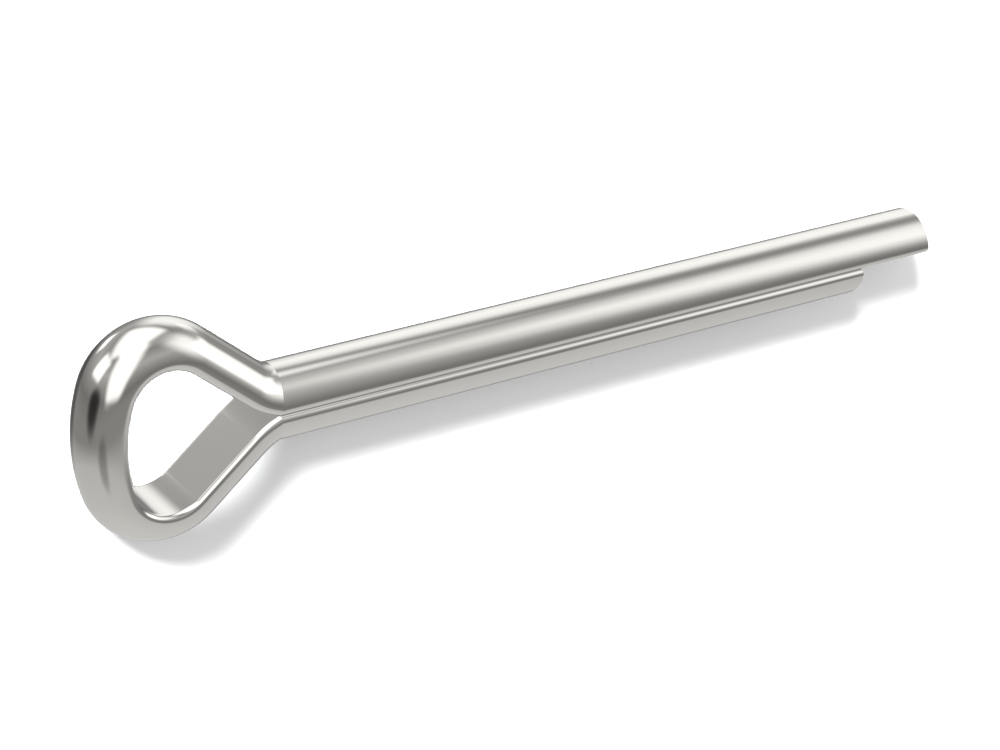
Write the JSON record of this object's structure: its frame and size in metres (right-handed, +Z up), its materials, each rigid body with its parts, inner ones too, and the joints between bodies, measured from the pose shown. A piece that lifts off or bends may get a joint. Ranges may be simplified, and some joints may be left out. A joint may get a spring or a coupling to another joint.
{
  "type": "cotter pin",
  "caption": "Cotter pin of half-round steel wire with a rounded triangular eye and an extended, square cut prong, for locking a pin or castle nut through a cross hole.",
  "frame": {"origin": "on the shank's axis at the neck, where the eye's legs close up into the two prongs", "axes": "+X along the shank from the neck to the cut ends, +Y in the eye's plane towards the long prong, +Z up, out of the eye's face, as the pin lies flat"},
  "size_m": [0.0351, 0.0078, 0.0026],
  "materials": {
    "steel": "polished, bright"
  },
  "bodies": {
    "root": {"cotter_pin": "steel"}
  },
  "joints": []
}
